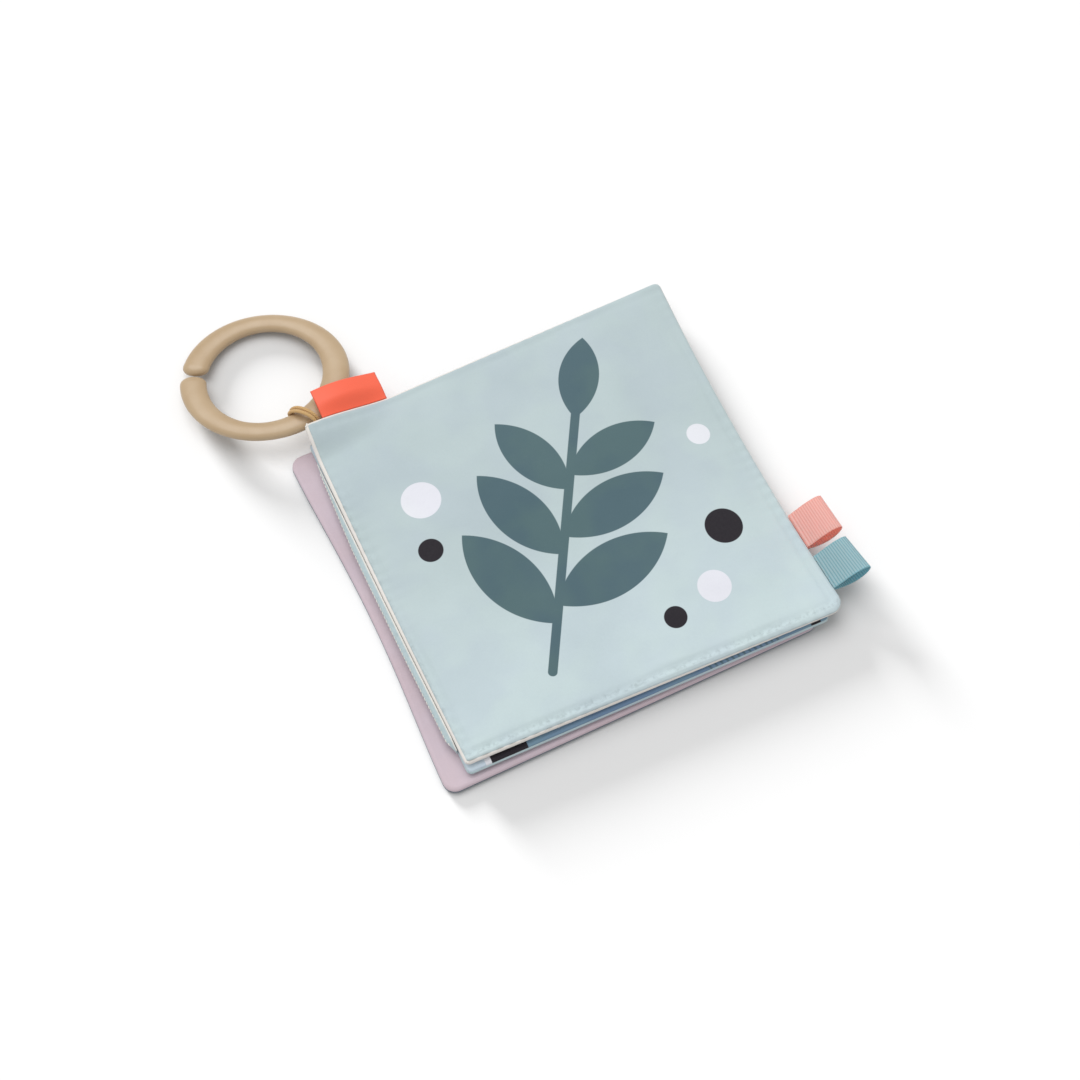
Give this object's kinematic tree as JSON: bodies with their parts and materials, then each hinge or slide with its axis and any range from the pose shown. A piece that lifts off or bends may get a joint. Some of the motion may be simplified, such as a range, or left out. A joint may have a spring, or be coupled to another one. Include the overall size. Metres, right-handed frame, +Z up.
{
  "type": "cloth activity book",
  "caption": "soft cloth book for a baby: padded square leaves folded as a concertina, with ribbon loops, a label tab and a teether link ring on a cord loop",
  "frame": {"origin": "in plan the centre of the front leaf, in height the flat underside of the back leaf, which the book rests on", "axes": "+X along the book's bottom edge, from the left fold to the side with the ribbon loops; +Y towards the edge with the label tab and the ring; +Z up, out of the front leaf"},
  "size_m": [0.1972, 0.2098, 0.0157],
  "materials": {
    "front_leaf_face": "printed woven cotton, pale blue with a dark print",
    "front_leaf_lining": "plain woven cotton, cream",
    "front_leaf_wadding": "soft polyester wadding",
    "front_leaf_crinkle_film": "thin crackling film",
    "front_leaf_seam_thread": "sewing thread",
    "middle_leaf_face": "printed woven cotton, mid blue",
    "middle_leaf_lining": "printed woven cotton, pale blue with black and white bars",
    "middle_leaf_wadding": "soft polyester wadding",
    "middle_leaf_seam_thread": "sewing thread",
    "back_leaf_face": "woven cotton, pale pink",
    "back_leaf_lining": "woven cotton, grey-blue",
    "back_leaf_wadding": "soft polyester wadding",
    "back_leaf_crinkle_film": "thin crackling film",
    "back_leaf_seam_thread": "sewing thread",
    "left_fold_binding": "woven tape, cream",
    "left_fold_stitch": "sewing thread",
    "right_fold_binding": "woven tape, cream",
    "right_fold_stitch": "sewing thread",
    "link_ring": "smooth moulded plastic, warm beige",
    "ring_cord_loop": "twisted cord, golden brown",
    "label_tab": "satin tape, orange, bare",
    "coral_ribbon_loop": "ribbed grosgrain ribbon, coral",
    "teal_ribbon_loop": "ribbed grosgrain ribbon, teal"
  },
  "bodies": {
    "back_leaf": {"back_leaf_face": "back_leaf_face", "back_leaf_lining": "back_leaf_lining", "back_leaf_wadding": "back_leaf_wadding", "back_leaf_crinkle_film": "back_leaf_crinkle_film", "back_leaf_seam_thread": "back_leaf_seam_thread", "right_fold_binding": "right_fold_binding", "right_fold_stitch": "right_fold_stitch"},
    "middle_leaf": {"middle_leaf_face": "middle_leaf_face", "middle_leaf_lining": "middle_leaf_lining", "middle_leaf_wadding": "middle_leaf_wadding", "middle_leaf_seam_thread": "middle_leaf_seam_thread", "left_fold_binding": "left_fold_binding", "left_fold_stitch": "left_fold_stitch"},
    "front_leaf": {"front_leaf_face": "front_leaf_face", "front_leaf_lining": "front_leaf_lining", "front_leaf_wadding": "front_leaf_wadding", "front_leaf_crinkle_film": "front_leaf_crinkle_film", "front_leaf_seam_thread": "front_leaf_seam_thread"},
    "ring_cord": {"ring_cord_loop": "ring_cord_loop"},
    "ring": {"link_ring": "link_ring"},
    "label": {"label_tab": "label_tab"},
    "coral_ribbon": {"coral_ribbon_loop": "coral_ribbon_loop"},
    "teal_ribbon": {"teal_ribbon_loop": "teal_ribbon_loop"}
  },
  "joints": [
    {"name": "back_fold", "type": "hinge", "parent": "back_leaf", "child": "middle_leaf", "pos_m": [0.0678, 0, 0.00323], "axis": [0, 1, 0], "range_deg": [0, 180], "deforming": ["right_fold_binding", "right_fold_stitch"]},
    {"name": "front_fold", "type": "hinge", "parent": "middle_leaf", "child": "front_leaf", "pos_m": [-0.0751, 0, 0.0086], "axis": [0, -1, 0], "range_deg": [0, 180], "deforming": ["left_fold_binding", "left_fold_stitch"]},
    {"name": "ring_swing", "type": "hinge", "parent": "front_leaf", "child": "ring_cord", "pos_m": [-0.072, 0.074, 0.01], "axis": [1, 0, 0], "range_deg": [-60, 0], "deforming": ["ring_cord_loop"]},
    {"name": "ring_turn", "type": "hinge", "parent": "ring_cord", "child": "ring", "pos_m": [-0.0781, 0.1016, 0.00644], "axis": [0, 0.1564, 0.9877], "range_deg": [-210, 120], "deforming": ["ring_cord_loop"]},
    {"name": "label_flap", "type": "hinge", "parent": "front_leaf", "child": "label", "pos_m": [-0.0535, 0.0732, 0.0116], "axis": [0.9856, 0.0191, -0.1681], "range_deg": [0, 100]},
    {"name": "coral_ribbon_flap", "type": "hinge", "parent": "front_leaf", "child": "coral_ribbon", "pos_m": [0.07305, -0.0422, 0.0084], "axis": [0.0377, -0.9993, 0], "range_deg": [-60, 40]},
    {"name": "teal_ribbon_flap", "type": "hinge", "parent": "front_leaf", "child": "teal_ribbon", "pos_m": [0.0735, -0.0606, 0.0084], "axis": [0.0091, -1, 0], "range_deg": [-60, 40]}
  ]
}
